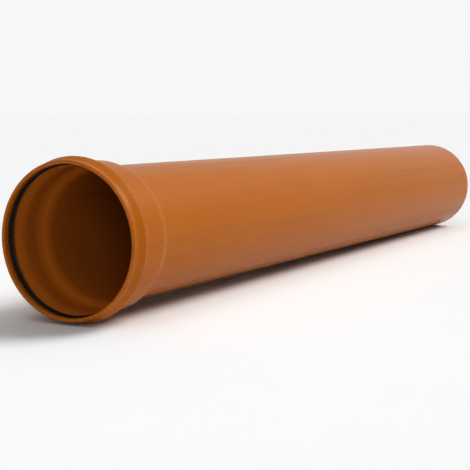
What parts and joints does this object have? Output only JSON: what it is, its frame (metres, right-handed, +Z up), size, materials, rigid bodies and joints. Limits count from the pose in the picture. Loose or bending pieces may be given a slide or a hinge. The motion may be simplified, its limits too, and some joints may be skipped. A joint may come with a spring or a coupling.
{
  "type": "sewer pipe with socket",
  "caption": "Straight round rigid plastic sewer pipe with a belled, ring-sealed socket at one end and a chamfered plain spigot at the other, laid end to end to carry waste water underground.",
  "frame": {"origin": "on the floor under the middle of the pipe's length, level with the lowest point of the bead", "axes": "+X along the pipe's axis from the socket to the spigot, +Z up"},
  "size_m": [1.225, 0.1868, 0.1867],
  "materials": {
    "pipe_plastic": "satin orange-brown",
    "ring_rubber": "matt black"
  },
  "bodies": {
    "root": {"pipe": "pipe_plastic", "sealing_ring": "ring_rubber"}
  },
  "joints": []
}
